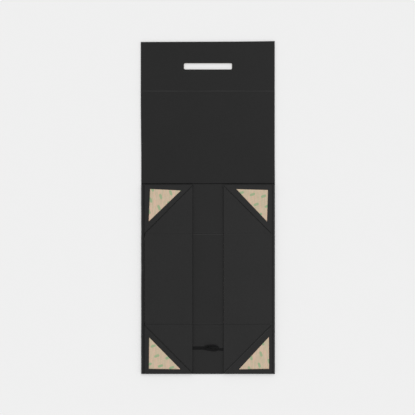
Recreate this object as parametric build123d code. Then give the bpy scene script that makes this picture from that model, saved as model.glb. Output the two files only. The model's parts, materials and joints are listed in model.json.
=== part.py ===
"""Collapsible rigid wine gift carrier, lying open and flat with its inside up.

One long chain of covered boards, flap - lid - back wall - base - front wall, folds up into a box.
The two side walls are folded in over the base, and four creased corner gussets tie them to the
back and front walls. A ribbon handle is threaded through the front wall.

Millimetres. X runs across the box, +Y towards the flap, +Z up. The origin is under the middle of
the flat blank, on the surface it lies on.
"""
from build123d import *
import math
import os

os.makedirs("parts", exist_ok=True)

# Panels, from the fold at one edge to the fold or free edge at the other
WIDTH = 330.0
FLAP = 121.4
LID = 228.8
BACK_WALL = 124.0
BASE = 225.0
FRONT_WALL = 121.2

# Sheet goods
BOARD = 2.0
PAPER = 0.2
THICK = BOARD + 2 * PAPER
HEM = 14.0
GUSSET_HEM = 8.0
LINING_GAP = 0.2
HINGE_HALF = 2.6
SEAM = 0.3
LIFT = 1.1

# Side walls and corner gussets, folded in over the blank
WING_Z = 3.8
NEAR_EDGE = WIDTH / 2 - 7.8
REACH = 118.6
WING_END = 6.6
WING_PAPER_END = 2.9
WING_PAPER_SETBACK = 8.0
GUSSET_START = 0.4
GUSSET_TIP = 7.0
TAPE_TIP = 2.9
CREASE_HALF = 1.6
WEB = 0.4

# Double-sided tape on the outer gussets
TAPE_SIDE_MARGIN = 11.7
TAPE_END_MARGIN = 9.9
TAPE_LEG = 77.7
ADHESIVE = 0.12
LINER = 0.13

# Hand slot in the flap
SLOT_LENGTH = 118.5
SLOT_WIDTH = 15.1
SLOT_RADIUS = 3.0
SLOT_FROM_FOLD = 61.3

# Closing magnets
MAGNET_RADIUS = 7.5
MAGNET_THICK = 1.8
MAGNET_CLEAR = 0.2
MAGNET_X = 115.0
MAGNET_FROM_FLAP_FOLD = 97.0

# Ribbon handle
RIBBON_WIDTH = 8.0
RIBBON_THICK = 0.8
EYELET_X = 50.0
EYELET_FROM_FOLD = 58.5
EYELET_LENGTH = 10.0
EYELET_WIDTH = 3.0
RUN_FROM_FOLD = 57.0
KNOT_X = (-8.6, 26.0)
KNOT_WIDTH = 15.0
KNOT_HEIGHT = 4.6

# Where the folds lie, with the blank centred on Y = 0
TOTAL = FLAP + LID + BACK_WALL + BASE + FRONT_WALL
FLAP_FOLD = TOTAL / 2 - FLAP
LID_FOLD = FLAP_FOLD - LID
BACK_FOLD = LID_FOLD - BACK_WALL
FRONT_FOLD = BACK_FOLD - BASE
SLOT_Y = FLAP_FOLD + SLOT_FROM_FOLD
EYELET_Y = FRONT_FOLD - EYELET_FROM_FOLD
RUN_Y = FRONT_FOLD - RUN_FROM_FOLD
MAGNET_FLAP_Y = FLAP_FOLD + MAGNET_FROM_FLAP_FOLD
MAGNET_FRONT_Y = FRONT_FOLD - (BACK_WALL - MAGNET_FROM_FLAP_FOLD)

nodes = {}


def block(x_low, x_high, y_low, y_high, z_low, z_high):
    """A box between two corners."""
    size = (x_high - x_low, y_high - y_low, z_high - z_low)
    middle = ((x_low + x_high) / 2, (y_low + y_high) / 2, (z_low + z_high) / 2)
    return Pos(*middle) * Box(*size)


def covered_board(x_low, x_high, y_low, y_high, strip_low=0.0, strip_high=0.0, setback=0.0):
    """A board from z = 0 up, its outer paper turned in over all four edges, and its lining.

    strip_low and strip_high are how far the outer paper runs on past the board into a fold, and
    setback is how far short of x_high those strips stop.
    """
    inner = (x_low + PAPER, x_high - PAPER, y_low + PAPER, y_high - PAPER)
    board = block(*inner, PAPER, PAPER + BOARD)
    window = block(x_low + HEM, x_high - HEM, y_low + HEM, y_high - HEM, PAPER + BOARD, THICK)
    wrap = block(x_low, x_high, y_low, y_high, 0, THICK) - board - window
    if strip_low:
        wrap += block(x_low, x_high - setback, y_low - strip_low, y_low, 0, PAPER)
    if strip_high:
        wrap += block(x_low, x_high - setback, y_high, y_high + strip_high, 0, PAPER)
    edge = HEM + LINING_GAP
    lining = block(x_low + edge, x_high - edge, y_low + edge, y_high - edge, PAPER + BOARD, THICK)
    return {"board": board, "wrap": wrap, "lining": lining}


def chain_panel(name, y_low, y_high, fold_low=True, fold_high=True):
    """One panel of the long chain, with a hinge gap at each edge that folds."""
    gap_low = HINGE_HALF if fold_low else 0.0
    gap_high = HINGE_HALF if fold_high else 0.0
    layers = covered_board(
        -WIDTH / 2,
        WIDTH / 2,
        y_low + gap_low,
        y_high - gap_high,
        strip_low=gap_low - SEAM if fold_low else 0.0,
        strip_high=gap_high - SEAM if fold_high else 0.0,
    )
    for layer, solid in layers.items():
        nodes[f"{name}_{layer}"] = Pos(0, 0, LIFT) * solid


def cut(name, tool):
    """Takes a tool out of every layer of a panel."""
    for layer in ("board", "wrap", "lining"):
        nodes[f"{name}_{layer}"] = nodes[f"{name}_{layer}"] - tool


def side_wall(name, side):
    """A side wall folded in over the base, so that its outer face is up."""
    layers = covered_board(
        NEAR_EDGE - REACH,
        NEAR_EDGE,
        FRONT_FOLD + WING_END,
        BACK_FOLD - WING_END,
        strip_low=WING_END - WING_PAPER_END,
        strip_high=WING_END - WING_PAPER_END,
        setback=WING_PAPER_SETBACK,
    )
    for layer, solid in layers.items():
        turned = Pos(0, 0, LIFT + WING_Z + THICK) * mirror(solid, about=Plane.XY)
        nodes[f"{name}_{layer}"] = turned if side > 0 else mirror(turned, about=Plane.YZ)


def half_square(low, high, gap):
    """The three corners of a right triangle above the diagonal, gap away from it."""
    step = gap * math.sqrt(2)
    return [(low, low + step), (low, high), (high - step, high)]


def tape_outline(inset, gap):
    """The outer triangle of a corner square, with its tip beside the fold cut off."""
    high = REACH - inset
    step = gap * math.sqrt(2)
    start = max(TAPE_TIP, step) + inset
    outline = [(inset, start), (inset, high), (high - step, high)]
    if TAPE_TIP > step:
        outline.append((start - step, start))
    return outline


def fold_outline(inset, gap):
    """The inner triangle of a corner square, with its tip at the box's corner cut off."""
    low = GUSSET_START + inset
    high = REACH - inset
    step = gap * math.sqrt(2)
    start = max(GUSSET_TIP + inset, low + step)
    outline = [(start, low), (high, low), (high, high - step)]
    if start > low + step:
        outline.append((start, start - step))
    return outline


def corner_prism(corner, points, z_low, z_high):
    """A flat piece of a corner square.

    Its points are (inwards from the folded side edge, away from the fold beside the base).
    """
    side, fold, away = corner
    outline = [(side * (NEAR_EDGE - a), fold + away * v) for a, v in points]
    face = Polygon(*outline, align=None)
    return Pos(0, 0, LIFT + z_low) * extrude(face, amount=z_high - z_low, dir=(0, 0, 1))


def gusset(name, corner, outline):
    """One triangle of a corner square: its board, and the paper round it."""
    top = WING_Z + THICK
    board = corner_prism(corner, outline(PAPER, CREASE_HALF + PAPER), WING_Z + PAPER, top - PAPER)
    window = outline(GUSSET_HEM, CREASE_HALF + GUSSET_HEM)
    wrap = corner_prism(corner, outline(0, CREASE_HALF), WING_Z, top) - board
    wrap -= corner_prism(corner, window, WING_Z, WING_Z + PAPER)
    wrap += corner_prism(corner, outline(0, SEAM), top - PAPER, top)
    nodes[f"{name}_board"] = board
    nodes[f"{name}_wrap"] = wrap


def tape_patch(name, corner):
    """The adhesive triangle and the release liner over it."""
    low = TAPE_SIDE_MARGIN
    high = REACH - TAPE_END_MARGIN
    gap = (high - low - TAPE_LEG) / math.sqrt(2)
    outline = half_square(low, high, gap)
    top = WING_Z + THICK
    nodes[f"{name}_adhesive"] = corner_prism(corner, outline, top, top + ADHESIVE)
    liner_low = top + ADHESIVE
    nodes[f"{name}_liner"] = corner_prism(corner, outline, liner_low, liner_low + LINER)


def corner_square(name, corner):
    """Both triangles of one corner, with the folded edge that ties the outer one to its wall."""
    gusset(f"{name}_fold_gusset", corner, fold_outline)
    gusset(f"{name}_tape_gusset", corner, tape_outline)
    web_outline = [(0, TAPE_TIP), (0, REACH), (WEB, REACH), (WEB, TAPE_TIP)]
    web = corner_prism(corner, web_outline, THICK, WING_Z + PAPER)
    nodes[f"{name}_tape_gusset_wrap"] += web
    tape_patch(f"{name}_tape", corner)


def magnets(name, y):
    """A pair of discs, in pockets punched through the board."""
    low = LIFT + PAPER + (BOARD - MAGNET_THICK) / 2
    discs = []
    for side in (-1, 1):
        place = Pos(side * MAGNET_X, y, low + MAGNET_THICK / 2)
        pocket = place * Cylinder(MAGNET_RADIUS + MAGNET_CLEAR, BOARD + PAPER / 2)
        nodes[f"{name}_board"] -= pocket
        discs.append(place * Cylinder(MAGNET_RADIUS, MAGNET_THICK))
    nodes[f"{name}_magnets"] = Compound(children=discs)


def ribbon_loop():
    """The flat ribbon lying under the front wall, from one eyelet round to the other."""
    shape = [(-50.0, 0.0), (-49.2, 26.5), (-28.0, 52.8), (27.0, 53.6), (49.5, 27.5), (50.0, 0.0)]
    points = [Vector(x, EYELET_Y - drop, RIBBON_THICK / 2) for x, drop in shape]
    runs = [b - a for a, b in zip(points, points[1:])]
    radii = []
    for before, after in zip(runs, runs[1:]):
        half_turn = math.radians(before.get_angle(after)) / 2
        radii.append(0.45 * min(before.length, after.length) / math.tan(half_turn))
    path = FilletPolyline(*points, radius=radii)
    start = Plane(origin=points[0], z_dir=path % 0)
    across = start * Rectangle(RIBBON_THICK, RIBBON_WIDTH)
    if abs(across.bounding_box().size.Z - RIBBON_THICK) > 0.01:
        across = start * Rectangle(RIBBON_WIDTH, RIBBON_THICK)
    loop = sweep(across, path=path)
    print("ribbon loop radii", [round(r, 1) for r in radii], "length", round(path.length, 1))
    print("ribbon loop volume", loop.volume, "of", path.length * RIBBON_WIDTH * RIBBON_THICK)
    nodes["handle_loop"] = loop


def ribbon_inside():
    """The two runs of ribbon on the inner face, each with its leg down through an eyelet."""
    low = LIFT + THICK
    outer = EYELET_X + RIBBON_WIDTH / 2
    spans = {"left": (-outer, KNOT_X[0]), "right": (KNOT_X[1], outer)}
    for side, (x_low, x_high) in spans.items():
        y_low = RUN_Y - RIBBON_WIDTH / 2
        run = block(x_low, x_high, y_low, y_low + RIBBON_WIDTH, low, low + RIBBON_THICK)
        leg_low = x_low if side == "left" else x_high - RIBBON_WIDTH
        leg_y = EYELET_Y - RIBBON_THICK / 2
        leg = block(leg_low, leg_low + RIBBON_WIDTH, leg_y, leg_y + RIBBON_THICK, LIFT, low)
        nodes[f"handle_run_{side}"] = run + leg


def ribbon_knot():
    """The knot on the inner face: two wraps of ribbon side by side."""
    low = LIFT + THICK
    middle = sum(KNOT_X) / 2
    lumps = []
    for x_low, x_high in ((KNOT_X[0], middle), (middle, KNOT_X[1])):
        lump = block(
            x_low,
            x_high,
            RUN_Y - KNOT_WIDTH / 2,
            RUN_Y + KNOT_WIDTH / 2,
            low,
            low + KNOT_HEIGHT,
        )
        lumps.append(fillet(lump.edges().group_by(Axis.Z)[-1], radius=2.0))
    nodes["handle_knot"] = lumps[0] + lumps[1]


chain_panel("flap", FLAP_FOLD, TOTAL / 2, fold_high=False)
chain_panel("lid", LID_FOLD, FLAP_FOLD)
chain_panel("back_wall", BACK_FOLD, LID_FOLD)
chain_panel("base", FRONT_FOLD, BACK_FOLD)
chain_panel("front_wall", -TOTAL / 2, FRONT_FOLD, fold_low=False)

slot_face = RectangleRounded(SLOT_LENGTH, SLOT_WIDTH, SLOT_RADIUS)
cut("flap", Pos(0, SLOT_Y, 0) * extrude(slot_face, amount=LIFT + 2 * THICK))

eyelet_face = SlotOverall(EYELET_LENGTH, EYELET_WIDTH)
for side in (-1, 1):
    cut("front_wall", Pos(side * EYELET_X, EYELET_Y, 0) * extrude(eyelet_face, amount=LIFT + 2 * THICK))

magnets("flap", MAGNET_FLAP_Y)
magnets("front_wall", MAGNET_FRONT_Y)

side_wall("left_wall", -1)
side_wall("right_wall", 1)

corner_square("back_left", (-1, BACK_FOLD, 1))
corner_square("back_right", (1, BACK_FOLD, 1))
corner_square("front_left", (-1, FRONT_FOLD, -1))
corner_square("front_right", (1, FRONT_FOLD, -1))

ribbon_loop()
ribbon_inside()
ribbon_knot()

for name, solid in nodes.items():
    export_step(solid, f"parts/{name}.step")
print(len(nodes), "nodes")
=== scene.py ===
# %% [markdown]
# # A flat-folded gift carrier for a bottle
# The object is one long chain of covered boards lying open on a table: flap, lid, back wall, base
# and front wall. Two side walls are folded in over the base, four creased gussets fill the
# corners, four triangles of tape wait under their liners, and a ribbon handle is knotted through
# the front wall. The boards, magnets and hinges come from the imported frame. This file gives them
# their papers, folds, ribbon, tape and light.

# %% Load the frame
import json
import math

import bpy
import numpy as np
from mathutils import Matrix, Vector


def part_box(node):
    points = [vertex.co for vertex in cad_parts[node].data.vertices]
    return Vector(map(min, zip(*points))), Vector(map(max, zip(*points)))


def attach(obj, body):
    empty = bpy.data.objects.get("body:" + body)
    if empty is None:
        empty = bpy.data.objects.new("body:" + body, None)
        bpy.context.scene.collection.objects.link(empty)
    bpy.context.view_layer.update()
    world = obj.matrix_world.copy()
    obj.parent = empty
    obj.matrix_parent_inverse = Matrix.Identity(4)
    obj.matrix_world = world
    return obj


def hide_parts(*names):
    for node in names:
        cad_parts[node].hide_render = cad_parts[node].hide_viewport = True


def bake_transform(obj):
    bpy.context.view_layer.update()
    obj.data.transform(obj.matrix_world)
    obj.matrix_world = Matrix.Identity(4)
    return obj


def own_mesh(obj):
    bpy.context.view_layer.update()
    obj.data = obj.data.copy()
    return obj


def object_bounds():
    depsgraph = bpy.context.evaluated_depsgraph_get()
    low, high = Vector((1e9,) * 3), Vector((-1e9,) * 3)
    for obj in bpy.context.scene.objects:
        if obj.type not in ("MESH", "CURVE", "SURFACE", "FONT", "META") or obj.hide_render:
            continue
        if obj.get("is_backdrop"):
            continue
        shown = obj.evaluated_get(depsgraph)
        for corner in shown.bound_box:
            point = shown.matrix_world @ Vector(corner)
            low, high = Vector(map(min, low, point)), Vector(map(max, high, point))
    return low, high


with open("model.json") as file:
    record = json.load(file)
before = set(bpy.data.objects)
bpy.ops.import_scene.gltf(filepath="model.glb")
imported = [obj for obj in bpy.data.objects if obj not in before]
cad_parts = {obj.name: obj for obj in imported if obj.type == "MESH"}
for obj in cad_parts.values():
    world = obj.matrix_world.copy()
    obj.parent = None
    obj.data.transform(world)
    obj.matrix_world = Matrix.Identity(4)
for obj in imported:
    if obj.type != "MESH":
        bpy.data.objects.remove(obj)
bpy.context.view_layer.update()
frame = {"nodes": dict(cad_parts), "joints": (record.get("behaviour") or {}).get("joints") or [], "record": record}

# %% [markdown]
# ## Measures
# A stationer works in millimetres, so every shape below is worked out in millimetres and scaled
# once, when it becomes a mesh. The places are read from the frame's boxes and hinge points. That
# keeps each paper glued to its board if the boards ever change.

# %% Read the places of boards and folds
MM = 0.001


def corners(node):
    """Lowest and highest corner of a frame node, in millimetres."""
    low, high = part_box(node)
    return np.array(low) / MM, np.array(high) / MM


hinges = {joint["name"]: np.array(joint["pos_m"]) / MM for joint in frame["joints"]}
FLAP_FOLD = hinges["flap_fold"][1]
LID_FOLD = hinges["lid_fold"][1]
BACK_FOLD = hinges["back_wall_fold"][1]
FRONT_FOLD = hinges["front_wall_fold"][1]
UNDER = hinges["back_wall_fold"][2]
HALF_WIDTH = corners("base_wrap")[1][0]
BOARD_TOP = corners("base_wrap")[1][2]
THICK = BOARD_TOP - UNDER
PAPER = corners("base_board")[0][2] - UNDER
(WING_IN, _, WING_UNDER), (WING_OUT, _, WING_TOP) = corners("right_wall_wrap")
WING_BACK = corners("right_wall_board")[1][1] + PAPER
WING_FRONT = corners("right_wall_board")[0][1] - PAPER
HINGE_HALF = BACK_FOLD - corners("base_board")[1][1] - PAPER
print("folds at", [round(float(y), 1) for y in (FLAP_FOLD, LID_FOLD, BACK_FOLD, FRONT_FOLD)])

# %% [markdown]
# ## Arithmetic on shader sockets
# Shader maths drawn as nodes is hard to read back. A small wrapper lets a socket be used in an
# ordinary expression, and each operator adds the Math node it stands for.

# %% A socket that can be used in an expression
class Socket:
    """One shader output. Arithmetic on it adds Math nodes to its finish."""

    def __init__(self, finish, output):
        self.finish = finish
        self.output = output

    def math(self, operation, *others):
        """The Math node of that operation on this socket and the others, in order."""
        inputs = dict(enumerate((self, *others)))
        return self.finish.node("ShaderNodeMath", {"operation": operation}, inputs)

    def __add__(self, other):
        return self.math("ADD", other)

    def __radd__(self, other):
        return self.math("ADD", other)

    def __sub__(self, other):
        return self.math("SUBTRACT", other)

    def __rsub__(self, other):
        return (self * -1.0).math("ADD", other)

    def __mul__(self, other):
        return self.math("MULTIPLY", other)

    def __pow__(self, other):
        return self.math("POWER", other)

    def over(self, edge, soft):
        """0 below the edge, 1 above it, and a ramp of width soft centred on it."""
        return ((self - edge) * (1 / soft) + 0.5).math("MAXIMUM", 0.0).math("MINIMUM", 1.0)


# %% [markdown]
# ## One way to add a node
# Every other node is made by one method: its type, its settings, then what goes into its sockets.
# A finish always ends in one Principled shader, whose constant values are set on its sockets.

# %% A finish that nodes are added to
class Finish:
    """A procedural material under construction."""

    def __init__(self, name, **constants):
        self.material = bpy.data.materials.new(name)
        self.material.use_nodes = True
        self.nodes = self.material.node_tree.nodes
        self.links = self.material.node_tree.links
        self.shader = self.nodes["Principled BSDF"]
        for socket, value in constants.items():
            self.shader.inputs[socket.replace("_", " ")].default_value = value

    def node(self, kind, settings=None, inputs=None, output=0):
        """Adds a node of that kind, sets its settings, then fills or links its sockets."""
        node = self.nodes.new(kind)
        for name, value in (settings or {}).items():
            setattr(node, name, value)
        for name, value in (inputs or {}).items():
            self.fill(node.inputs[name], value)
        return Socket(self, node.outputs[output])

    def fill(self, socket, value):
        """Links a Socket, or sets a plain value."""
        if isinstance(value, Socket):
            self.links.new(value.output, socket)
        elif isinstance(value, tuple) and len(value) == 3 and socket.type == "RGBA":
            socket.default_value = (*value, 1.0)
        else:
            socket.default_value = value

    def place(self, scale=(1.0, 1.0, 1.0), turn=0.0, shift=(0.0, 0.0, 0.0)):
        """Object coordinates in millimetres, turned about Z by degrees, shifted and scaled."""
        where = self.node("ShaderNodeTexCoord", output="Object")
        sizes = tuple(factor / MM for factor in scale)
        angles = (0.0, 0.0, math.radians(turn))
        inputs = {"Vector": where, "Scale": sizes, "Rotation": angles, "Location": shift}
        return self.node("ShaderNodeMapping", {}, inputs)

    def noise(self, vector, scale, detail=2.0, roughness=0.5):
        """Noise with features about 1 / scale millimetres across."""
        inputs = {"Vector": vector, "Scale": scale, "Detail": detail, "Roughness": roughness}
        return self.node("ShaderNodeTexNoise", {}, inputs)

    def blend(self, factor, first, second):
        """A colour between two, first where the factor is 0."""
        return self.node("ShaderNodeMix", {"data_type": "RGBA"}, {0: factor, 6: first, 7: second}, 2)

    def attribute(self, name):
        """A number stored on the mesh's points."""
        return self.node("ShaderNodeAttribute", {"attribute_name": name}, output="Fac")

    def bump(self, height, distance, strength=1.0):
        """The surface normal of a height, where distance is in millimetres."""
        inputs = {"Height": height, "Distance": distance * MM, "Strength": strength}
        return self.node("ShaderNodeBump", {}, inputs)

    def paint(self, **links):
        """Links sockets of the shader and returns the material."""
        for socket, value in links.items():
            self.fill(self.shader.inputs[socket.replace("_", " ")], value)
        return self.material


print("socket arithmetic and finishes ready")

# %% [markdown]
# ## Black papers
# The outside is a soft black paper with a faint fibre, and the inside a slightly deeper lining
# paper. Both are nearly flat in colour, so the life is in three small things: mottling the size
# of paper fibres, broad cloudy patches from the glue, and a fine tooth that roughens the sheen.
# Folds get the same paper with a paler crest, partly wear and partly painted highlight, read from an
# attribute on the mesh.

# %% Paper finishes
# Painted light: the papers are painted paler towards +X, the side the sun comes from.
PAINTED_LIGHT_DRIFT = 0.0007


def black_paper(name, tone, fibre, cloud, tooth, worn_and_lit=False):
    """Black paper: tone is its mean colour, fibre and cloud how much the two noises change it.

    The drift constant sets how much paler the sheet is painted for each millimetre along X: a painted light
    gradient, lighter towards +X, the side the sun comes from.
    """
    finish = Finish(name, Specular_IOR_Level=0.26, IOR=1.5)
    where = finish.place()
    fine = finish.noise(where, 0.36, 3.0, 0.62)
    broad = finish.noise(where, 0.011, 2.0, 0.5)
    grain = finish.noise(finish.place(scale=(1.0, 0.35, 1.0)), 2.4, 4.0, 0.7)
    along_x = finish.node("ShaderNodeSeparateXYZ", {}, {0: where}, "X")
    # The along-X term is painted light, a gradient that is lighter towards the sun's side.
    factor = 1.0 + (fine - 0.5) * fibre + (broad - 0.5) * cloud + along_x * PAINTED_LIGHT_DRIFT
    if worn_and_lit:
        # Painted highlight, partly wear: fold crests and lips are painted paler from a mesh attribute.
        factor = factor + finish.attribute("wear") * (1.6 + fine * 1.6)
    most = 6.0
    colour = finish.blend(factor * (1 / most), (0.0, 0.0, 0.0), tuple(most * c for c in tone))
    height = grain * 0.6 + fine * 0.9
    return finish.paint(
        Base_Color=colour,
        Roughness=0.66 - (grain - 0.5) * 0.12 - (fine - 0.5) * 0.10,
        Normal=finish.bump(height, tooth, 0.55),
    )


OUTER = (0.0104, 0.0104, 0.0104)
LINING = (0.0087, 0.0087, 0.0087)
LID_LINING = (0.0069, 0.0069, 0.0069)
outer_paper = black_paper("outer black paper", OUTER, 0.55, 0.30, 0.06)
lining_paper = black_paper("lining black paper", LINING, 0.50, 0.28, 0.05)
lid_lining = black_paper("deeper lining paper", LID_LINING, 0.60, 0.30, 0.05)
# The creased papers paint pale crests and lips: partly wear, partly painted highlight.
lit_worn_lid_lining = black_paper("creased deeper lining", LID_LINING, 0.60, 0.30, 0.06, worn_and_lit=True)
lit_worn_outer = black_paper("creased outer paper", OUTER, 0.55, 0.30, 0.07, worn_and_lit=True)
lit_worn_lining = black_paper("creased lining paper", LINING, 0.50, 0.28, 0.06, worn_and_lit=True)
print("papers:", outer_paper.name, lining_paper.name)

# %% [markdown]
# ## Board, steel and glue
# These are rarely seen. Greyboard is pulped paper with pale and dark fleck, the magnets are
# nickel-plated steel with a turned face, and the adhesive is a milky film.

# %% Inner finishes
def greyboard():
    """Recycled board: warm grey with flecks stretched along the grain."""
    finish = Finish("greyboard", Specular_IOR_Level=0.2)
    where = finish.place(scale=(1.0, 0.4, 1.0))
    fleck = finish.noise(where, 0.9, 5.0, 0.7)
    cloud = finish.noise(finish.place(), 0.05, 2.0, 0.5)
    mix = fleck * 0.8 + cloud * 0.2
    colour = finish.blend(mix.over(0.5, 0.35), (0.24, 0.21, 0.18), (0.50, 0.46, 0.40))
    return finish.paint(
        Base_Color=colour,
        Roughness=0.95 - fleck * 0.1,
        Normal=finish.bump(fleck, 0.15, 0.6),
    )


def magnet_steel():
    """Plated steel with fine rings of brushing."""
    finish = Finish("plated magnet", Metallic=1.0)
    scratch = finish.noise(finish.place(scale=(0.3, 3.0, 1.0)), 1.6, 4.0, 0.6)
    colour = finish.blend(scratch, (0.50, 0.49, 0.46), (0.66, 0.65, 0.62))
    return finish.paint(
        Base_Color=colour,
        Roughness=0.24 + scratch * 0.16,
        Normal=finish.bump(scratch, 0.02, 0.4),
    )


def adhesive_film():
    """Milky transfer adhesive with a slight orange-peel surface."""
    finish = Finish("milky adhesive", Specular_IOR_Level=0.5)
    peel = finish.noise(finish.place(), 0.6, 2.0, 0.5)
    colour = finish.blend(peel, (0.60, 0.57, 0.48), (0.72, 0.69, 0.60))
    return finish.paint(
        Base_Color=colour,
        Roughness=0.30 + peel * 0.15,
        Normal=finish.bump(peel, 0.08, 0.5),
    )


board_finish, steel_finish, glue_finish = greyboard(), magnet_steel(), adhesive_film()
for name, node in frame["nodes"].items():
    finish = {"magnets": steel_finish, "adhesive": glue_finish}.get(name.split("_")[-1], board_finish)
    node.material_slots[0].material = finish
print("frame nodes painted")

# %% [markdown]
# ## Meshes from arrays
# A shape is a grid of points worked out as whole arrays. The faces follow from the grid alone, so
# one function numbers them for every piece, and another turns points and faces into an object.

# %% Grid helpers
def lines(*stops):
    """Grid lines from stops, each a value and how many cells lead up to it."""
    values = [np.array([float(stops[0])])]
    for (value, cells), before in zip(stops[1:], [stops[0], *[s[0] for s in stops[1:]]]):
        values.append(np.linspace(before, value, cells + 1)[1:])
    return np.concatenate(values)


def grid(rows, columns, joined=False):
    """Every cell of a grid of points, by corner numbers. Joined closes each row on itself."""
    number = np.arange(rows * columns).reshape(rows, columns)
    if joined:
        number = np.hstack([number, number[:, :1]])
    cells = [number[:-1, :-1], number[:-1, 1:], number[1:, 1:], number[1:, :-1]]
    return np.stack(cells, axis=-1).reshape(-1, 4)


def facing_up(points, faces):
    """The faces, turned over if most of them look down."""
    a, b, c = (points[faces[:, i]] for i in range(3))
    up = np.cross(b - a, c - a)[:, 2].sum()
    return faces if up > 0 else faces[:, ::-1]


def mesh_piece(name, points, faces, finish, caps=()):
    """An object at the origin from points in millimetres. Caps are extra many-sided faces."""
    mesh = bpy.data.meshes.new(name)
    mesh.from_pydata((points * MM).tolist(), [], [*faces.tolist(), *caps])
    mesh.polygons.foreach_set("use_smooth", np.ones(len(mesh.polygons), bool))
    mesh.materials.append(finish)
    mesh.update()
    piece = bpy.data.objects.new(name, mesh)
    bpy.context.scene.collection.objects.link(piece)
    return piece


def points_of(mesh):
    """The mesh's points, in millimetres."""
    found = np.zeros(len(mesh.vertices) * 3, np.float32)
    mesh.vertices.foreach_get("co", found)
    return found.reshape(-1, 3) / MM


def lay(piece, body, node):
    """Fixes a piece to a body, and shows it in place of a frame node."""
    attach(piece, body)
    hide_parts(node)


def finished(piece):
    """Applies the piece's modifiers, so its mesh is final."""
    shown = piece.evaluated_get(bpy.context.evaluated_depsgraph_get())
    piece.data = bpy.data.meshes.new_from_object(shown)
    piece.modifiers.clear()
    return piece


def thicken(piece, thickness, rounding=0.0):
    """Gives a sheet its thickness below it, then rounds the edges."""
    wall = piece.modifiers.new("thickness", "SOLIDIFY")
    wall.thickness = thickness * MM
    wall.offset = -1.0
    if rounding:
        edge = piece.modifiers.new("rounding", "BEVEL")
        edge.width = rounding * MM
        edge.segments = 3
        edge.limit_method = "ANGLE"
        edge.angle_limit = math.radians(50)
        edge.harden_normals = True


def flatten_shading(piece):
    """Shades every face flat, for a sheet that has no curve in it."""
    piece.data.polygons.foreach_set("use_smooth", np.zeros(len(piece.data.polygons), bool))


def wear(piece, amounts):
    """Stores how pale each point of the mesh is painted, from 0 to 1: partly wear, partly painted highlight."""
    attribute = piece.data.attributes.new("wear", "FLOAT", "POINT")
    attribute.data.foreach_set("value", np.clip(amounts, 0, 1).astype(np.float32).ravel())


print("mesh helpers ready")

# %% [markdown]
# ## Covers of the chain
# Each board is wrapped in the outer paper, which is turned in over the edges. The wrapped board is
# a plate with soft rounded edges: a flat sheet of points, given its thickness and a small
# rounding. The front wall has two slits for the ribbon, which are cells left out of the grid. The
# panels were cut and wrapped by hand, so their edges wander from the ideal by about a millimetre.

# %% Plates
def plate(name, xs, ys, top, finish, holes=()):
    """A flat sheet at height top on grid lines xs and ys, without the cells inside the holes."""
    x, y = np.meshgrid(xs, ys)
    points = np.stack([x, y, np.full_like(x, top)], axis=-1).reshape(-1, 3)
    faces = grid(len(ys), len(xs))
    middle = points[faces].mean(axis=1)
    for x_low, x_high, y_low, y_high in holes:
        inside = (middle[:, 0] > x_low) & (middle[:, 0] < x_high)
        inside &= (middle[:, 1] > y_low) & (middle[:, 1] < y_high)
        faces = faces[~inside]
        middle = middle[~inside]
    return mesh_piece(name, points, faces, finish)


def drop_loose(piece):
    """Removes points that no face uses."""
    mesh = piece.data
    used = np.zeros(len(mesh.loops), np.int32)
    mesh.loops.foreach_get("vertex_index", used)
    keep = np.unique(used)
    number = np.full(len(mesh.vertices), -1)
    number[keep] = np.arange(len(keep))
    points = np.zeros(len(mesh.vertices) * 3, np.float32)
    mesh.vertices.foreach_get("co", points)
    faces = number[used].reshape(-1, 4)
    mesh.clear_geometry()
    mesh.from_pydata(points.reshape(-1, 3)[keep].tolist(), [], faces.tolist())
    mesh.polygons.foreach_set("use_smooth", np.ones(len(faces), bool))
    mesh.update()


def ease(value):
    """0 below 0, 1 above 1, and smooth between."""
    value = np.clip(value, 0, 1)
    return value * value * (3 - 2 * value)


END_PANEL = 121


def settle(piece):
    """Gives a piece of the chain the small drift of hand work.

    The far left edge stands 1.2 mm out, the far edge leans, and the near edge runs a little long.
    """
    mesh = piece.data
    points = points_of(mesh)
    x, y = points[:, 0].copy(), points[:, 1].copy()
    left = np.clip(-x / HALF_WIDTH, 0, 1)
    far = np.clip((y - FLAP_FOLD) / END_PANEL, 0, 1) ** 6
    near = np.clip((FRONT_FOLD - y) / END_PANEL, 0, 1) ** 6
    right = np.clip(x / HALF_WIDTH, 0, 1)
    points[:, 0] -= 1.2 * left**4 * ease((y - 105) / 170)
    points[:, 0] += 0.4 * right**8 * ease((130 - y) / 60)
    points[:, 1] += far * (0.9 + 0.7 * x / HALF_WIDTH + 0.9 * right**3)
    points[:, 1] -= near * 0.15
    mesh.vertices.foreach_set("co", (points * MM).astype(np.float32).ravel())
    mesh.update()


COVER_ROUNDING = 0.65
CELL = 12
SLIT_Y = hinges["handle_swing"][1]
SLIT_X, SLIT_HALF_LONG, SLIT_HALF_WIDE = 50.0, 5.0, 1.5


def slit_grid(edge, y_low, y_high):
    """Grid lines of the front wall, and the two slits as holes between them."""
    inner, outer = SLIT_X - SLIT_HALF_LONG, SLIT_X + SLIT_HALF_LONG
    slit_low, slit_high = SLIT_Y - SLIT_HALF_WIDE, SLIT_Y + SLIT_HALF_WIDE
    xs = lines(-edge, (-outer, 4), (-inner, 1), (inner, 4), (outer, 1), (edge, 4))
    ys = lines(y_low, (slit_low, 4), (slit_high, 1), (y_high, 4))
    holes = [(-outer, -inner, slit_low, slit_high), (inner, outer, slit_low, slit_high)]
    return xs, ys, holes


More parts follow.
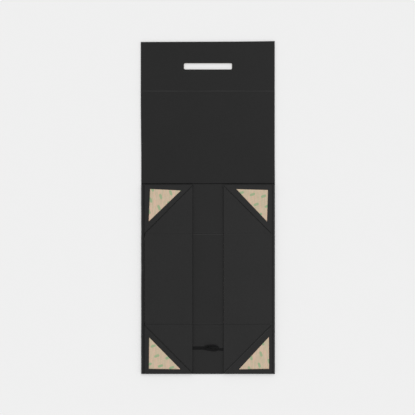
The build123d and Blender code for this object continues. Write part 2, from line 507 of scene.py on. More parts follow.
for panel in ("lid", "back_wall", "base", "front_wall"):
    low, high = corners(f"{panel}_board")
    y_low, y_high = low[1] - PAPER, high[1] + PAPER
    xs, ys, holes = lines(-HALF_WIDTH, (HALF_WIDTH, CELL)), lines(y_low, (y_high, CELL)), []
    if panel == "front_wall":
        xs, ys, holes = slit_grid(HALF_WIDTH, y_low, y_high)
    cover = plate(f"{panel}_cover_paper", xs, ys, BOARD_TOP, outer_paper, holes)
    drop_loose(cover)
    settle(cover)
    thicken(cover, THICK, COVER_ROUNDING)
    lay(cover, panel, f"{panel}_wrap")
print("plates: lid, back wall, base, front wall")

# %% [markdown]
# ## The flap and its hand slot
# The flap has a long slot with rounded corners. A square grid would leave them stepped,
# so its points run in rings from the slot's outline out to the edge of the flap.

# %% Flap rings
def slot_rings(slot, radius, low, high, shares, turns=8):
    """Points in rings from a rounded slot outline to a rectangle.

    Each corner's arc is the slot's corner centre plus radius times (cos, sin). Its partner on the
    rectangle walks from one side round the rectangle's corner to the next side.
    """
    x_low, x_high, y_low, y_high = slot
    centre = np.array([(x_low + x_high) / 2, (y_low + y_high) / 2])
    half = np.array([x_high - x_low, y_high - y_low]) / 2 - radius
    inner, outer = [], []
    for quarter in range(4):
        angle = math.pi / 2 * quarter + np.linspace(0, math.pi / 2, turns + 1)
        sign = np.array([(1, 1), (-1, 1), (-1, -1), (1, -1)][quarter])
        middle = centre + sign * half
        inner.append(middle + radius * np.stack([np.cos(angle), np.sin(angle)], axis=-1))
        rim = np.where(sign > 0, high, low)
        walk = np.linspace(0, 2, turns + 1)[:, None]
        first = np.array([rim[0], middle[1]]) if quarter % 2 == 0 else np.array([middle[0], rim[1]])
        last = np.array([middle[0], rim[1]]) if quarter % 2 == 0 else np.array([rim[0], middle[1]])
        to_corner = first + (rim - first) * np.minimum(walk, 1)
        outer.append(to_corner + (last - rim) * np.maximum(walk - 1, 0))
    inner, outer = np.concatenate(inner), np.concatenate(outer)
    return np.stack([inner + (outer - inner) * share for share in shares])


low, high = corners("flap_board")
flap_low, flap_high = low[:2] - PAPER, high[:2] + PAPER
box = frame["record"]["physics"]["openings"][0]["box_m"]
SLOT_SPARE = 1.75
SLOT_HALF = 7.55
slot_y = (box[0][1] + box[1][1]) / 2 / MM
slot_x = box[0][0] / MM - SLOT_SPARE, box[1][0] / MM + SLOT_SPARE
slot = (*slot_x, slot_y - SLOT_HALF, slot_y + SLOT_HALF)
SLOT_RADIUS = 3.0


def ringed_sheet(name, top, finish, outline, radius, low, high):
    """A flat sheet from a slot's outline to a rectangle."""
    rings = slot_rings(outline, radius, low, high, (0.0, 0.02, 0.3, 0.97, 1.0))
    points = np.concatenate([rings, np.full((*rings.shape[:2], 1), top)], axis=-1)
    faces = facing_up(points.reshape(-1, 3), grid(*rings.shape[:2], joined=True))
    return mesh_piece(name, points.reshape(-1, 3), faces, finish)


flap_cover = ringed_sheet(
    "flap_cover_paper", BOARD_TOP, outer_paper, slot, SLOT_RADIUS, flap_low, flap_high
)
settle(flap_cover)
thicken(flap_cover, THICK, COVER_ROUNDING)
lay(flap_cover, "flap", "flap_wrap")
print("flap cover with a slot", round(slot[1] - slot[0], 1), "mm long")

# %% [markdown]
# ## Linings
# The inside of every panel is faced with a lining paper that stops a little short of the free
# edges, so a narrow border of outer paper shows. It is a sheet a tenth of a millimetre thick,
# proud of the cover by its own thickness, which draws the border as a faint line.

# %% Lining sheets
LINING_THICK = 0.12
BORDER = 2.5
SLOT_MARGIN = 0.3
spans = {
    "lid": (LID_FOLD + HINGE_HALF, FLAP_FOLD - HINGE_HALF),
    "back_wall": (BACK_FOLD + HINGE_HALF, LID_FOLD - HINGE_HALF),
    "base": (FRONT_FOLD + HINGE_HALF, BACK_FOLD - HINGE_HALF),
    "front_wall": (corners("front_wall_board")[0][1] + BORDER, FRONT_FOLD - HINGE_HALF),
}
for panel, (y_low, y_high) in spans.items():
    edge = HALF_WIDTH - BORDER
    xs, ys, holes = lines(-edge, (edge, CELL)), lines(y_low, (y_high, CELL)), []
    if panel == "front_wall":
        xs, ys, holes = slit_grid(edge, y_low, y_high)
    name = f"{panel}_lining_paper"
    paper = lid_lining if panel == "lid" else lining_paper
    lining = plate(name, xs, ys, BOARD_TOP + LINING_THICK, paper, holes)
    drop_loose(lining)
    settle(lining)
    flatten_shading(lining)
    thicken(lining, LINING_THICK)
    lay(lining, panel, f"{panel}_lining")

wide = tuple(np.array(slot) + SLOT_MARGIN * np.array([-1, 1, -1, 1]))
flap_lining = ringed_sheet(
    "flap_lining_paper",
    BOARD_TOP + LINING_THICK,
    lid_lining,
    wide,
    SLOT_RADIUS + SLOT_MARGIN,
    np.array([flap_low[0] + BORDER, FLAP_FOLD + HINGE_HALF]),
    flap_high - BORDER,
)
settle(flap_lining)
flatten_shading(flap_lining)
thicken(flap_lining, LINING_THICK)
lay(flap_lining, "flap", "flap_lining")
print("linings on five panels")

# %% [markdown]
# ## The four folds of the chain
# Between two boards there is only paper, pressed down into the gap. Each fold has its own
# character: the flap's is pulled nearly flat with a pale crest, the lid's is a sharp dark valley, and
# the two beside the base are wider channels with pale lips. The pale crests and lips are painted,
# partly wear and partly painted highlight. A fold is one profile carried across the box.

# %% Fold strips
def bell(s, centre, width):
    """A smooth hill of height 1: e to the minus square of the distance over the width."""
    return np.exp(-(((s - centre) / width) ** 2))


def flap_profile(s, x):
    """Nearly flush, with a low ridge painted pale: partly wear, partly painted highlight."""
    return 0.12 * bell(s, 0.0, 0.9), bell(s, 0.0, 0.9) * (0.7 + 0.2 * np.sin(x / 23.0))


def lid_profile(s, x):
    """A narrow deep valley with one lip painted paler: the far one at the left, the near one at the right."""
    side = 1 / (1 + np.exp(x / 20.0))
    worn_and_lit = bell(s, 2.0, 0.6) * side + bell(s, -2.0, 0.6) * (1 - side)
    return -1.7 * bell(s, 0.1, 0.75), 0.25 * worn_and_lit


def back_profile(s, x):
    """A shallow channel between two lips painted pale: partly wear, partly painted highlight."""
    return -0.7 * bell(s, 0.6, 0.9), 0.3 * bell(s, 2.6, 0.7) + 0.5 * bell(s, -1.6, 0.7)


def front_profile(s, x):
    """A channel with faintly pale lips: partly wear, partly painted highlight."""
    return -0.95 * bell(s, -0.1, 0.8), 0.22 * bell(s, 2.4, 0.7) + 0.16 * bell(s, -2.4, 0.8)


def fold_strip(name, fold, profile, paper):
    """A closed strip across the box: the profile on top, and the flat outer paper underneath."""
    half = HINGE_HALF + 0.5
    s = np.linspace(-half, half, 41)
    x = np.linspace(-HALF_WIDTH + 0.05, HALF_WIDTH - 0.05, 67)
    across, along = np.meshgrid(s, x)
    drift = 0.12 * np.sin(along / 31.0 + fold) + 0.07 * np.sin(along / 9.7)
    height, worn_and_lit = profile(across - drift, along)
    crown = BOARD_TOP + LINING_THICK + 0.03
    top = np.stack([along, fold + across, crown + height], axis=-1)
    bottom = np.stack([along, fold + across, np.full_like(along, UNDER + 0.02)], axis=-1)[:, ::-1]
    points = np.concatenate([top, bottom], axis=1)
    rows, columns = points.shape[:2]
    faces = grid(rows, columns, joined=True)[:, ::-1]
    last = (rows - 1) * columns
    caps = [list(range(columns)), list(range(last, last + columns))[::-1]]
    piece = mesh_piece(name, points.reshape(-1, 3), faces, paper, caps)
    settle(piece)
    # Painted highlight, partly wear: the profile's pale crest and lips.
    wear(piece, np.concatenate([worn_and_lit, np.zeros_like(worn_and_lit)], axis=1))
    piece.data.set_sharp_from_angle(angle=math.radians(50))
    start, end = (0, (fold - HINGE_HALF) * MM, UNDER * MM), (0, (fold + HINGE_HALF) * MM, UNDER * MM)
    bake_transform(piece)


fold_strip("flap_fold_paper", FLAP_FOLD, flap_profile, lit_worn_lid_lining)
fold_strip("lid_fold_paper", LID_FOLD, lid_profile, lit_worn_lid_lining)
fold_strip("back_fold_paper", BACK_FOLD, back_profile, lit_worn_lining)
fold_strip("front_fold_paper", FRONT_FOLD, front_profile, lit_worn_lining)
print("four fold strips")

# %% [markdown]
# ## Side walls
# The two side walls lie folded in over the base with their outer paper up. Each is a wrapped
# board like the others, with its lining on the hidden face. At both ends the outer paper runs on
# as a soft lip that closes the gap to the corner gussets.

# %% Side walls and their lips
HAIR = 0.03
LIP_THICK = 0.35
LIP_SHORT = 3.7
LONGER = {-1: 0.15, 1: 0.0}
SIDES = ((-1, "left_wall"), (1, "right_wall"))
for side, name in SIDES:
    low_x, high_x = sorted((side * (WING_IN - LONGER[side]), side * WING_OUT))
    xs, ys = lines(low_x, (high_x, CELL)), lines(WING_FRONT, (WING_BACK, CELL))
    cover = plate(f"{name}_cover_paper", xs, ys, WING_TOP, outer_paper)
    thicken(cover, WING_TOP - WING_UNDER, COVER_ROUNDING)
    lay(cover, name, f"{name}_wrap")
    xs = lines(low_x + BORDER, (high_x - BORDER, CELL))
    ys = lines(WING_FRONT + BORDER, (WING_BACK - BORDER, CELL))
    lining = plate(f"{name}_lining_paper", xs, ys, WING_UNDER, lining_paper)
    flatten_shading(lining)
    thicken(lining, LINING_THICK)
    lay(lining, name, f"{name}_lining")


def lip(name, side, y_far, y_near, sink, body):
    """A thin lip from a side wall's end at y_near to y_far, sinking towards its free edge.

    Its free edge has z = top - sink * share^2, where share goes from 0 at the wall to 1 there.
    """
    x = side * np.linspace(WING_IN - LONGER[side] + 0.5, WING_OUT - LIP_SHORT, 41)
    share = np.linspace(0, 1, 9)
    along, out = np.meshgrid(x, share)
    y = y_near + (y_far - y_near) * out
    ripple = 0.03 * np.sin(along / 7.0) * out
    z = WING_TOP - HAIR - sink * out**2 + ripple
    points = np.stack([along, y, z], axis=-1).reshape(-1, 3)
    faces = facing_up(points, grid(*along.shape))
    piece = mesh_piece(name, points, faces, lit_worn_outer)
    # Painted highlight, partly wear: the free edge is painted pale, more on the right lips, on the sun's side.
    wear(piece, (0.22 if side > 0 else 0.08) * out**8)
    thicken(piece, LIP_THICK, 0.1)
    finished(piece)
    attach(piece, body)
    anchor = (0, y_near * MM, WING_TOP * MM)
    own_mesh(piece)


for side, name in SIDES:
    lip(f"{name}_back_lip", side, BACK_FOLD + 0.42, WING_BACK - 0.8, 0.0, name)
    lip(f"{name}_front_lip", side, FRONT_FOLD + 2.3, WING_FRONT + 0.8, 0.15, name)
print("side walls with four lips")

# %% [markdown]
# ## Corner gussets
# Each corner square is creased from the box's corner outwards. The outer half stays with its wall
# and carries the tape, and the inner half folds over it. A corner is worked out once, as inwards
# and away distances from the corner, then set down at each of the four places.

# %% Gusset plates
CREASE_HALF = 1.6
corner_places = {
    "back_left": (-1, BACK_FOLD, 1, "back_wall", 120.8),
    "back_right": (1, BACK_FOLD, 1, "back_wall", 120.8),
    "front_left": (-1, FRONT_FOLD, -1, "front_wall", 119.9),
    "front_right": (1, FRONT_FOLD, -1, "front_wall", 119.9),
}
REACH = WING_OUT - WING_IN
TAPE_TIP = 2.9
FOLD_TIP = 7.0
FOLD_START = {1: 0.5, -1: -1.9}
GUSSET_ROUNDING = 0.3


def at_corner(corner, inwards, away, height):
    """Points of a corner square, in the frame's directions."""
    side, fold, sense = corner_places[corner][:3]
    x = side * (WING_OUT - inwards)
    y = fold + sense * away
    return np.stack([x, y, np.broadcast_to(height, x.shape)], axis=-1).reshape(-1, 3)


def gusset_plate(corner, kind, body):
    """One half of a corner square: rows from its tip outwards, each from one edge to the crease.

    In the tape half a row lies at one distance away and runs inwards up to the crease, and in the
    fold half it lies at one distance inwards and runs away from the fold up to the crease.
    """
    gap = CREASE_HALF * math.sqrt(2)
    side, _, sense, _, end = corner_places[corner]
    fold_start = FOLD_START[sense]
    share = np.linspace(0, 1, 9)
    if kind == "tape":
        row, part = np.meshgrid(np.linspace(TAPE_TIP, end, 25), share, indexing="ij")
        inwards, away = part * (row - gap), row
    else:
        rows = np.linspace(FOLD_TIP, REACH + LONGER[side], 25)
        row, part = np.meshgrid(rows, share, indexing="ij")
        inwards, away = row, fold_start + part * (row - gap - fold_start)
    points = at_corner(corner, inwards, away, WING_TOP)
    faces = facing_up(points, grid(*row.shape))
    piece = mesh_piece(f"{corner}_{kind}_gusset_paper", points, faces, outer_paper)
    thicken(piece, WING_TOP - WING_UNDER, GUSSET_ROUNDING)
    lay(piece, body, f"{corner}_{kind}_gusset_wrap")


for corner, place in corner_places.items():
    gusset_plate(corner, "tape", place[3])
    gusset_plate(corner, "fold", f"{corner}_gusset")
print("eight gusset plates")

# %% [markdown]
# ## Diagonal creases
# Along each diagonal only paper joins the two halves. It is pressed into a shallow valley.

# %% Crease strips
TUCK = 7.6
TUCK_LAP = 0.8
STRIP_LAP = 0.7
STRIP_THICK = 0.4


def crease(corner, depth):
    """A thin valley along the diagonal, carried outwards from the tip.

    Across it the height is top - depth * bell(distance from the diagonal). One end of the blend
    is half a crease to the wall's side of the diagonal, and the other half a crease past it.
    """
    half = CREASE_HALF + STRIP_LAP
    root = math.sqrt(2)
    length = corner_places[corner][4] - 1.0
    along, across = np.meshgrid(np.linspace(TUCK, length, 49), np.linspace(-half, half, 21))
    inwards, away = along + across / root, along - across / root
    valley = bell(across, 0.12 * np.sin(along / 17.0), 1.0)
    height = WING_TOP + HAIR - depth * valley
    points = at_corner(corner, inwards, away, height)
    faces = facing_up(points, grid(*along.shape))
    piece = mesh_piece(f"{corner}_crease_paper", points, faces, lit_worn_outer)
    # Painted highlight, partly wear: one side of the valley is painted pale, strongly at the front right corner.
    worn_and_lit = {"front_right": 0.8, "back_left": 0.12, "back_right": 0.12}.get(corner, 0.0)
    lit_side = -1.7 if corner == "front_right" else 1.9
    wear(piece, worn_and_lit * bell(across, lit_side, 0.6))
    thicken(piece, STRIP_THICK, 0.1)
    finished(piece)
    middle = np.array([length / 2, length / 2])
    off = np.array([CREASE_HALF, -CREASE_HALF]) / root
    ends = [
        at_corner(corner, np.array([p[0]]), np.array([p[1]]), WING_TOP)[0] * MM
        for p in (middle - off, middle + off)
    ]
    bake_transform(piece)


def tuck(corner, wall, depth):
    """The small patch at the box's corner: the same valley, on a square beside the fold."""
    _, fold, sense = corner_places[corner][:3]
    far = TUCK + TUCK_LAP
    inwards, away = np.meshgrid(
        np.linspace(0.4, TUCK + 1.4, 25), np.linspace(FOLD_START[sense], far, 25)
    )
    valley = bell((inwards - away) / math.sqrt(2), 0.0, 1.0) * ease(inwards / 2.5)
    points = at_corner(corner, inwards, away, WING_TOP + 0.025 - depth * valley)
    faces = facing_up(points, grid(*inwards.shape))
    piece = mesh_piece(f"{corner}_corner_tuck", points, faces, outer_paper)
    thicken(piece, STRIP_THICK, 0.1)
    finished(piece)
    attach(piece, wall)
    anchor = (0, (fold + sense * far) * MM, WING_TOP * MM)
    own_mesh(piece)


CREASE_DEPTH = 1.5
for corner, place in corner_places.items():
    crease(corner, CREASE_DEPTH)
    tuck(corner, place[3], CREASE_DEPTH)
print("four diagonal creases")

# %% [markdown]
# ## Folded side edges
# Where a side wall turns over the base, its paper makes a flat loop: up from the base's edge,
# over, and down into a groove beside the wall's board. One profile is carried along the edge.
# Beside the tape gussets it stays with its own wall, and a short end between the two stays with
# the base.

# %% Side bands
def band(name, side, y_low, y_high, groove, depth, inner=1.0):
    """The loop of paper at one side edge, as a profile of (outward, height) along the edge.

    It rises from the base's edge, lies level, and dips by depth where outward is near groove.
    """
    top = WING_TOP - UNDER
    profile = np.array(
        [
            (HALF_WIDTH - 1.2, 0.5),
            (HALF_WIDTH - 0.1, 1.0),
            (HALF_WIDTH + 0.15, 2.4),
            (HALF_WIDTH + 0.05, 4.2),
            (HALF_WIDTH - 0.8, top - 0.6),
            (HALF_WIDTH - 2.4, top - 0.05),
            (groove + 1.9, top + 0.02),
            (groove + 1.0, top - 0.10),
            (groove + 0.4, top - depth),
            (groove - 0.3, top - depth),
            (groove - 0.8, top - 0.10),
            (min(groove, WING_OUT) - inner, top - 0.02),
        ]
    )
    rows = np.linspace(y_low, y_high, 41)
    wave = 0.10 * np.sin(rows / 19.0) + 0.06 * np.sin(rows / 7.3)
    out = profile[:, 0][None, :] + wave[:, None] * (profile[:, 1] > 1.5)
    y = np.repeat(rows[:, None], len(profile), axis=1)
    z = UNDER + np.repeat(profile[:, 1][None, :], len(rows), axis=0)
    points = np.stack([side * out, y, z], axis=-1).reshape(-1, 3)
    faces = facing_up(points, grid(len(rows), len(profile)))
    piece = mesh_piece(name, points, faces, outer_paper)
    smooth = piece.modifiers.new("smooth", "SUBSURF")
    smooth.levels = smooth.render_levels = 1
    thicken(piece, STRIP_THICK, 0.1)
    return piece


BAND_GIVE = 6.4
grooves = {-1: (WING_OUT + 0.3, 4.2), 1: (WING_OUT + 1.8, 1.2)}
for side, name in SIDES:
    piece = finished(band(f"{name}_fold_band", side, WING_FRONT, WING_BACK, *grooves[side]))
    start = (side * HALF_WIDTH * MM, 0, BOARD_TOP * MM)
    end = (side * WING_OUT * MM, 0, WING_TOP * MM)
    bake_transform(piece)
for corner, (side, fold, sense, wall, end) in corner_places.items():
    y_low, y_high = sorted((fold + sense * 0.6, fold + sense * end))
    piece = finished(band(f"{corner}_fold_band", side, y_low, y_high, *grooves[side]))
    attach(piece, wall)
    anchor = (0, (fold + sense * end) * MM, 0)
    1 - BAND_GIVE / end
    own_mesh(piece)
    far = (WING_BACK if sense > 0 else WING_FRONT) + sense * 0.1
    y_low, y_high = sorted((far, fold + sense * 0.3))
    piece = band(f"{corner}_band_end", side, y_low, y_high, *grooves[side], LIP_SHORT - 0.1)
    finished(piece)
    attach(piece, "base")
    far * MM
    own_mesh(piece)
print("ten side bands")

# %% [markdown]
# ## Tape liners
# The tape on each corner has a thin adhesive under a waxed liner, cut as a triangle by hand, so
# the four differ a little and their corners lift. A triangle is a lattice of rows with one more
# point each, placed as a weighted mean of its three corners.

# %% Release liner finish
def liner_finish(name, turn, spot):
    """Waxed paper, tan and pink, with a plain green print: rounded blocks and broken lines.

    The print runs along the turned Y axis. Blocks repeat every PRINT_PITCH across and PRINT_ROW
    along, each row set over by nearly half a pitch. One block's middle lies at the spot.
    """
    angle = math.radians(turn)
    shift_u = PRINT_PITCH / 2 - (spot[0] * math.cos(angle) - spot[1] * math.sin(angle))
    shift_v = PRINT_ROW / 2 - (spot[0] * math.sin(angle) + spot[1] * math.cos(angle))
    shift = (shift_u, shift_v, 0.0)
    finish = Finish(name, Specular_IOR_Level=0.4)
    where = finish.place(turn=turn, shift=shift)
    mottle = finish.noise(where, 0.12, 3.0, 0.6)
    streak = finish.noise(finish.place(scale=(1.0, 0.12, 1.0), turn=turn), 0.30, 2.0, 0.5)
    base = finish.blend(streak.over(0.5, 0.16), (0.455, 0.375, 0.26), (0.565, 0.39, 0.29))
    base = finish.blend(mottle.over(0.55, 0.3) * 0.45, base, (0.53, 0.455, 0.33))
    u = finish.node("ShaderNodeSeparateXYZ", {}, {0: where}, "X")
    v = finish.node("ShaderNodeSeparateXYZ", {}, {0: where}, "Y")
    row = v * (1 / PRINT_ROW)
    column = u * (1 / PRINT_PITCH) + row.math("FLOOR") * 0.49
    across = (column.math("FRACT") - 0.5) * PRINT_PITCH
    along = (row.math("FRACT") - 0.5) * PRINT_ROW
    block = (across.math("ABSOLUTE") * (1 / 3.1)) ** 3.0 + (along.math("ABSOLUTE") * (1 / 6.6)) ** 3.0
    green = (1.0 - block.over(1.0, 0.5)) * (0.62 + mottle * 0.6)
    line = ((u * (1 / 5.4)).math("FRACT") - 0.5).math("ABSOLUTE")
    broken = finish.noise(finish.place(scale=(1.0, 0.5, 1.0), turn=turn), 0.5, 2.0, 0.5)
    thin = (1.0 - line.over(0.13, 0.12)) * broken.over(0.52, 0.12) * 0.5
    colour = finish.blend(thin, base, (0.37, 0.38, 0.20))
    colour = finish.blend(green, colour, (0.25, 0.355, 0.195))
    crinkle = finish.noise(where, 0.22, 4.0, 0.6)
    return finish.paint(
        Base_Color=colour,
        Roughness=0.42 + crinkle * 0.18,
        Normal=finish.bump(crinkle, 0.12, 0.5),
    )


PRINT_PITCH, PRINT_ROW = 26.2, 24.4
print("liner print every", PRINT_PITCH, "by", PRINT_ROW, "mm")

# %% Liners and their adhesive
def triangle(count):
    """Row shares, corner weights and faces of a triangular lattice with count rows."""
    row, place = np.tril_indices(count + 1)
    number = row * (row + 1) // 2 + place
    down = row < count
    first = number[down]
    below = first + row[down] + 1
    faces = [np.stack([first, below, below + 1], axis=-1)]
    inner = down & (place < row)
    first = number[inner]
    faces.append(np.stack([first, first + row[inner] + 2, first + 1], axis=-1))
    out = row / count
    turn = np.divide(place, row, out=np.zeros(len(row)), where=row > 0)
    return out, turn, np.concatenate(faces)


def tape_triangle(name, corner, shifts, height, lift, finish):
    """A thin triangle of tape over the corner's patch, its three corners shifted and lifted."""
    patch_low, patch_high = corners(f"{corner}_tape_liner")
    side, fold, sense = corner_places[corner][:3]
    in_low, in_high = sorted(WING_OUT - side * np.array([patch_low[0], patch_high[0]]))
    away_low, away_high = sorted(sense * (np.array([patch_low[1], patch_high[1]]) - fold))
    ends = np.array([(in_low, away_low), (in_low, away_high), (in_high, away_high)]) + shifts
    out, turn, faces = triangle(24)
    weights = np.stack([1 - out, out * (1 - turn), out * turn], axis=-1)
    spot = weights @ ends
    curl = (weights**6) @ np.array(lift)
    points = at_corner(corner, spot[:, 0], spot[:, 1], height + curl)
    faces = facing_up(points, faces)
    return mesh_piece(name, points, faces, finish)


cuts = {
    "back_left": (((-0.8, -0.3), (2.6, 2.2), (1.2, -1.5)), (0.3, 0.7, 0.5), -20.0),
    "back_right": (((-0.1, -0.3), (-2.6, -0.3), (-2.0, 1.9)), (0.5, 0.3, 0.8), 70.0),
    "front_left": (((0.4, -0.4), (-0.4, -0.8), (-0.1, 0.4)), (0.7, 0.2, 0.4), 70.0),
    "front_right": (((-4.8, -1.6), (-5.3, -0.8), (-8.7, 0.4)), (0.4, 0.6, 0.7), -20.0),
}
tape_low = corners("back_left_tape_adhesive")[0][2]
block_spots = {
    "back_left": (40.5, 92.4),
    "back_right": (47.4, 97.3),
    "front_left": (22.0, 51.6),
    "front_right": (26.4, 71.3),
}
for corner, (shifts, lift, turn) in cuts.items():
    shifts = np.array(shifts)
    inset = np.array([(0.8, 1.8), (0.8, -0.8), (-1.8, -0.8)])
    film = tape_triangle(
        f"{corner}_adhesive_film", corner, shifts + inset, tape_low + 0.14, (0, 0, 0), glue_finish
    )
    thicken(film, 0.12)
    across, along = block_spots[corner]
    spot = at_corner(corner, np.array([across]), np.array([along]), 0.0)[0]
    finish = liner_finish(f"{corner} liner", turn, spot)
    liner = tape_triangle(f"{corner}_liner_paper", corner, shifts, tape_low + 0.30, lift, finish)
    thicken(liner, 0.13)
    wall = corner_places[corner][3]
    lay(film, wall, f"{corner}_tape_adhesive")
    lay(liner, wall, f"{corner}_tape_liner")
print("four taped corners")

# %% [markdown]
# ## Ribbon finish
# The handle is a black satin ribbon. Its weave runs along and across the ribbon, so the finish
# reads the ribbon's own UV map, which holds millimetres along and across it.

# %% Satin
def satin():
    """Black satin: long floats of warp over fine weft, and a soft uneven sheen."""
    finish = Finish("black satin ribbon", Specular_IOR_Level=0.11, Anisotropic=0.4)
    uv = finish.node("ShaderNodeUVMap", {"uv_map": "ribbon"})
    along = finish.node("ShaderNodeSeparateXYZ", {}, {0: uv}, "X")
    across = Socket(finish, along.output.node.outputs["Y"])
    warp = (across * (2 * math.pi / 0.45)).math("SINE") * 0.5 + 0.5
    weft = ((along + across * 0.6) * (2 * math.pi / 0.8)).math("SINE") * 0.5 + 0.5
    crush = finish.noise(finish.place(), 0.25, 3.0, 0.6)
    height = warp * 0.6 + weft * 0.5
    # The weave height also scales the colour: painted shade, darker in the hollows between threads.
    tone = (0.35 + crush * 0.9) * (0.8 + height * 0.25)
    colour = finish.blend(tone * 0.5, (0.0, 0.0, 0.0), (0.0068, 0.0068, 0.0071))
    return finish.paint(
        Base_Color=colour,
        Roughness=0.58 - crush * 0.18,
        Normal=finish.bump(height + crush * 1.2, 0.10, 0.5),
    )


satin_finish = satin()
print("satin ready")

# %% [markdown]
# ## Ribbon along a route
# A ribbon is a flat oval section carried along a smooth line. The line is a NURBS curve through
# given control points. The section lies flat, with a given twist about the line.

# %% Routes and ribbons
def route(points, closeness=10):
    """The smooth line of a NURBS curve with those control points, as points in millimetres."""
    curve = bpy.data.curves.new("route", "CURVE")
    curve.dimensions = "3D"
    spline = curve.splines.new("NURBS")
    spline.points.add(len(points) - 1)
    rows = np.hstack([np.array(points) * MM, np.ones((len(points), 1))])
    spline.points.foreach_set("co", rows.ravel())
    spline.order_u = 3
    spline.use_endpoint_u = True
    spline.resolution_u = closeness
    holder = bpy.data.objects.new("route", curve)
    line = bpy.data.meshes.new_from_object(holder)
    found = points_of(line)
    bpy.data.objects.remove(holder)
    bpy.data.curves.remove(curve)
    bpy.data.meshes.remove(line)
    return found


def ribbon(name, path, widths, thickness, twist, body, flat=(0.0, 0.0, 1.0)):
    """An oval section carried along a path.

    At each point the width runs across the path, level when the twist is 0, and the section is
    width / 2 times cos and thickness / 2 times sin, flattened to the power of one half.
    """
    tangent = np.gradient(path, axis=0)
    tangent /= np.linalg.norm(tangent, axis=1, keepdims=True)
    across = np.cross(np.array(flat), tangent)
    across /= np.linalg.norm(across, axis=1, keepdims=True)
    up = np.cross(tangent, across)
    roll = np.radians(twist)[:, None]
    across, up = across * np.cos(roll) + up * np.sin(roll), up * np.cos(roll) - across * np.sin(roll)
    angle = np.linspace(0, 2 * math.pi, 20, endpoint=False)
    wide = np.sign(np.cos(angle)) * np.abs(np.cos(angle)) ** 0.5
    tall = np.sign(np.sin(angle)) * np.abs(np.sin(angle)) ** 0.8
    points = path[:, None, :]
    points = points + across[:, None, :] * wide[None, :, None] * (widths / 2)[:, None, None]
    points = points + up[:, None, :] * tall[None, :, None] * (thickness / 2)[:, None, None]
    rows, columns = points.shape[:2]
    faces = grid(rows, columns, joined=True)[:, ::-1]
    last = (rows - 1) * columns
    caps = [list(range(columns)), list(range(last, last + columns))[::-1]]
    piece = mesh_piece(name, points.reshape(-1, 3), faces, satin_finish, caps)
    run = np.concatenate([[0], np.cumsum(np.linalg.norm(np.diff(path, axis=0), axis=1))])
    place = np.stack(np.broadcast_arrays(run[:, None], wide[None, :] * 4.0), axis=-1).reshape(-1, 2)
    corner_points = np.zeros(len(piece.data.loops), np.int32)
    piece.data.loops.foreach_get("vertex_index", corner_points)
    layer = piece.data.uv_layers.new(name="ribbon")
    layer.data.foreach_set("uv", place[corner_points].astype(np.float32).ravel())
    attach(piece, body)
    return piece


# %% [markdown]
# ## The handle outside
# From each slit the ribbon goes down and makes a loop that lies flat under the front wall. It is
# the handle that is pulled out through the flap when the box is closed, and its length is printed.

# %% Handle loop
RIBBON_WIDTH = 8.0
loop_shape = [(-50.0, 0.0), (-49.2, 26.5), (-28.0, 52.8), (27.0, 53.6), (49.5, 27.5), (50.0, 0.0)]
loop_height = 0.4
loop_path = route([(x, SLIT_Y - drop, loop_height) for x, drop in loop_shape], 16)
count = len(loop_path)
loop = ribbon(
    "handle_loop_ribbon",
    loop_path,
    np.full(count, RIBBON_WIDTH),
    np.full(count, 0.7),
    np.zeros(count),
    "handle",
)
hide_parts("handle_loop")
loop_length = np.linalg.norm(np.diff(loop_path, axis=0), axis=1).sum() * MM
print("handle loop", round(loop_length, 4), "m")

# %% [markdown]
# ## The handle inside
# Inside, the two ends meet in an overhand knot in the middle of the front wall. The ribbon is
# flat where it leaves the left slit, bunches up through the knot, and leaves it narrower.

# %% Knot and runs
KNOT = np.array([8.7, SLIT_Y + 1.5, UNDER])
knot_shape = [
    (-62.0, -0.6, 3.05),
    (-46.0, -0.2, 3.05),
    (-26.0, 0.2, 3.05),
    (-16.0, -0.4, 3.3),
    (-8.0, -3.2, 3.7),
    (4.0, -6.2, 4.1),
    (15.0, -5.0, 4.0),
    (17.0, 1.6, 4.2),
    (9.0, 6.2, 4.8),
    (-4.0, 6.0, 5.4),
    (-14.5, 4.6, 5.9),
    (-16.5, 0.4, 4.9),
    (-10.0, -0.8, 4.2),
    (-2.0, 1.4, 5.2),
    (7.0, 2.2, 5.9),
    (14.0, -0.6, 5.2),
    (20.0, -3.6, 3.4),
    (31.0, -3.2, 3.05),
    (44.0, -1.6, 3.05),
]
knot_path = route(np.array(knot_shape) + KNOT, 12)
reach = np.linspace(0, 1, len(knot_path))
widths = np.interp(reach, [0, 0.16, 0.26, 0.5, 0.8, 0.88, 1], [8.0, 8.0, 4.6, 4.0, 4.2, 5.2, 7.0])
thickness = np.interp(reach, [0, 0.16, 0.26, 0.8, 0.88, 1], [0.7, 0.7, 1.5, 1.5, 0.9, 0.7])
twist = np.interp(reach, [0, 0.2, 0.35, 0.5, 0.65, 0.8, 1], [0, 0, 22, -18, 24, -10, 0])
knot = ribbon("handle_knot_ribbon", knot_path, widths, thickness, twist, "front_wall")
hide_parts("handle_knot", "handle_run_left", "handle_run_right")

for side, name in ((-1, "left"), (1, "right")):
    leg_path = route(
        [
            (side * SLIT_X, SLIT_Y + 1.6, UNDER + 3.0),
            (side * SLIT_X, SLIT_Y + 0.3, UNDER + 2.9),
            (side * SLIT_X, SLIT_Y, UNDER + 1.2),
            (side * SLIT_X, SLIT_Y - 0.1, 0.9),
            (side * SLIT_X, SLIT_Y - 1.2, 0.5),
        ],
        8,
    )
    count = len(leg_path)
    ribbon(
        f"handle_leg_{name}",
        leg_path,
        np.full(count, RIBBON_WIDTH),
        np.full(count, 0.6),
        np.zeros(count),
        "front_wall",
        flat=(0.0, -0.6, 0.8),
    )
print("knot and runs", round(float(np.linalg.norm(np.diff(knot_path, axis=0), axis=1).sum())), "mm")

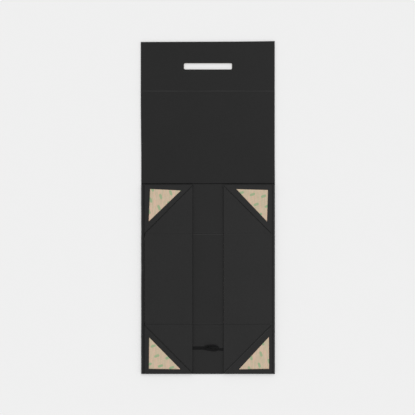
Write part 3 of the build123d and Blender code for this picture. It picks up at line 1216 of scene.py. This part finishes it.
# %% [markdown]
# ## Table, light and camera
# The object lies on a plain pale surface in soft light: mostly an even surround, and one broad
# source from the far right that opens faint shadows at the edges. The camera looks straight down
# through a long lens, so the edges of the boards stay parallel.

# %% Table
def table_finish():
    """Matte off-white plastic, a little lit from below, with a trace of grain."""
    finish = Finish(
        "pale table",
        Specular_IOR_Level=0.0,
        Emission_Color=(1.0, 1.0, 1.0, 1.0),
        Emission_Strength=0.30,
    )
    grain = finish.noise(finish.place(), 0.02, 2.0, 0.5)
    colour = finish.blend(grain, (0.508, 0.508, 0.508), (0.514, 0.514, 0.514))
    return finish.paint(Base_Color=colour, Roughness=1.0)


TABLE = 6000.0
table = plate("table", lines(-TABLE, (TABLE, 2)), lines(-TABLE, (TABLE, 2)), 0.0, table_finish())
table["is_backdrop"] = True

# %% Light
world = bpy.data.worlds.new("studio")
bpy.context.scene.world = world
world.use_nodes = True
world.node_tree.nodes["Background"].inputs["Color"].default_value = (1.0, 1.0, 1.0, 1.0)
world.node_tree.nodes["Background"].inputs["Strength"].default_value = 0.965
sun = bpy.data.lights.new("window", "SUN")
sun.energy = 0.62
sun.angle = math.radians(28)
window = bpy.data.objects.new("window", sun)
bpy.context.scene.collection.objects.link(window)
direction = np.array([0.30, 0.75, 0.9])
window.rotation_mode = "XYZ"
tilt = math.atan2(math.hypot(direction[0], direction[1]), direction[2])
window.rotation_euler = (0, tilt, math.atan2(direction[1], direction[0]))
bpy.context.scene.view_settings.view_transform = "Standard"

# %% Camera
FIELD = 1.0242
lens = bpy.data.cameras.new("camera")
lens.sensor_width = 36.0
lens.lens = 100.0
camera = bpy.data.objects.new("camera", lens)
bpy.context.scene.collection.objects.link(camera)
distance = FIELD / 2 / (lens.sensor_width / 2 / lens.lens)
camera.location = (-0.0012, 0.0012, distance + WING_TOP * MM)
camera.rotation_euler = (0.0, 0.0, 0.0)
bpy.context.scene.camera = camera
print("camera", round(distance, 3), "m above")

# %% [markdown]
# ## Sizes
# The extent of the finished object is measured, without the table.

# %% Measure the finished object
low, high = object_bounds()
